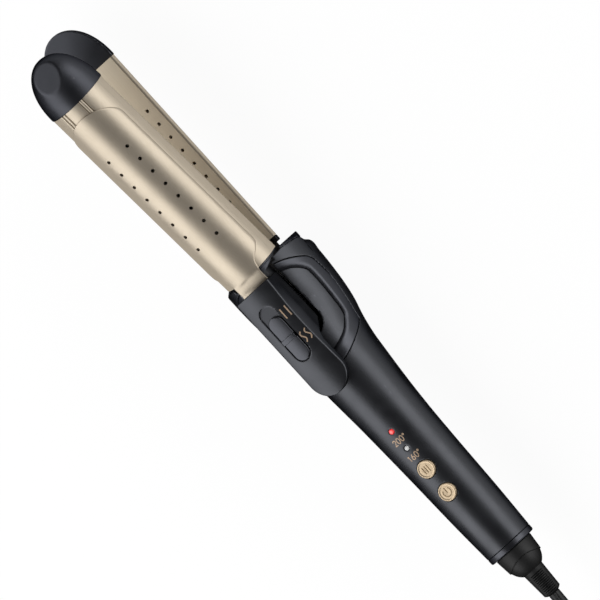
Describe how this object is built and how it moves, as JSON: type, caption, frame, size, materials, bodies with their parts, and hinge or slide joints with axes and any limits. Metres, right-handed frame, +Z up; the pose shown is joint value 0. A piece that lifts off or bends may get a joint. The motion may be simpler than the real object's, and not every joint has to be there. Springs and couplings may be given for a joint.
{
  "type": "hair waver",
  "caption": "Styling iron with two half-barrel jaws, a vented spoon clamp on a thumb lever, a slide, two buttons, a fan and a swivelling cord.",
  "frame": {"origin": "on the surface the tool rests on, under the middle of the tool without its cord", "axes": "+X along the handle towards the cord, the tip points to -X; +Z up, the side the front jaw opens to; +Y across, to the right seen from the cord with the lever up"},
  "size_m": [0.5469, 0.0604, 0.0675],
  "materials": {
    "dark_housing": "satin moulded, blue-black",
    "dark_trim": "satin moulded, near black",
    "gold_metal": "satin champagne gold",
    "gold_plate": "smooth champagne gold",
    "button_gold": "satin gold",
    "steel": "plain",
    "spring_steel": "drawn wire",
    "heater_ceramic": "fired ceramic",
    "carrier_nylon": "glass-filled nylon",
    "board_green": "solder-masked board",
    "red_lens": "clear red",
    "white_lens": "milky",
    "cord_rubber": "matt black",
    "blade_brass": "plain",
    "tie_fabric": "hook and loop"
  },
  "bodies": {
    "handle": {"upper_housing": "dark_housing", "lower_housing": "dark_housing", "nose_collar": "dark_trim", "lever_bezel": "dark_trim", "end_ring": "dark_trim", "rear_barrel": "gold_metal", "rear_plate": "gold_plate", "rear_tip_cap": "dark_trim", "rear_collar": "dark_trim", "rear_carrier": "carrier_nylon", "rear_heater": "heater_ceramic", "control_board": "board_green", "hot_lamp": "red_lens", "ready_lamp": "white_lens", "tact_switches": "carrier_nylon", "fan_motor": "steel", "fan_shroud": "carrier_nylon", "jaw_hinge_pin": "steel", "housing_screws": "steel", "intake_screen": "carrier_nylon", "jaw_spring": "spring_steel", "cord_lead": "cord_rubber", "cord_hank": "cord_rubber", "cord_tail": "cord_rubber", "hank_ties": "tie_fabric", "plug_body": "cord_rubber", "plug_blades": "blade_brass"},
    "front_arm": {"front_barrel": "gold_metal", "front_plate": "gold_plate", "front_tip_cap": "dark_trim", "front_collar": "dark_trim", "arm_root": "carrier_nylon", "front_heater": "heater_ceramic", "clamp_hinge_pin": "steel", "clamp_spring": "spring_steel"},
    "clamp": {"clamp_spoon": "gold_metal", "thumb_lever": "dark_housing", "clamp_screws": "steel"},
    "mode_slide": {"mode_slide": "dark_trim", "mode_latch": "carrier_nylon"},
    "mode_button": {"mode_button": "button_gold"},
    "power_button": {"power_button": "button_gold"},
    "fan": {"fan_rotor": "carrier_nylon"},
    "swivel": {"swivel_cap": "cord_rubber", "strain_relief": "cord_rubber"}
  },
  "joints": [
    {"name": "jaw_hinge", "type": "hinge", "parent": "handle", "child": "front_arm", "pos_m": [0.00395, 0, 0.016], "axis": [0, 1, 0], "range_deg": [-9.4, 0], "stiffness_Nm_per_rad": 1.2, "springref_deg": 14.32},
    {"name": "clamp_hinge", "type": "hinge", "parent": "front_arm", "child": "clamp", "pos_m": [0.00126, 0, 0.04199], "axis": [0, 1, 0], "range_deg": [0, 8.5], "stiffness_Nm_per_rad": 0.8, "springref_deg": -11.46},
    {"name": "mode_slide", "type": "slide", "parent": "clamp", "child": "mode_slide", "axis": [0.9999, 0, -0.014], "range_m": [-0.006, 0]},
    {"name": "mode_button_press", "type": "slide", "parent": "handle", "child": "mode_button", "axis": [0, 0, 1], "range_m": [-0.0007, 0], "stiffness_N_per_m": 800, "springref_m": 0.0005},
    {"name": "power_button_press", "type": "slide", "parent": "handle", "child": "power_button", "axis": [0, 0, 1], "range_m": [-0.0007, 0], "stiffness_N_per_m": 800, "springref_m": 0.0005},
    {"name": "fan_spin", "type": "hinge", "parent": "handle", "child": "fan", "pos_m": [0.01885, 0, 0.021], "axis": [1, 0, 0], "continuous": true},
    {"name": "cord_swivel", "type": "hinge", "parent": "handle", "child": "swivel", "pos_m": [0.15085, 0, 0.026], "axis": [1, 0, 0], "continuous": true}
  ]
}
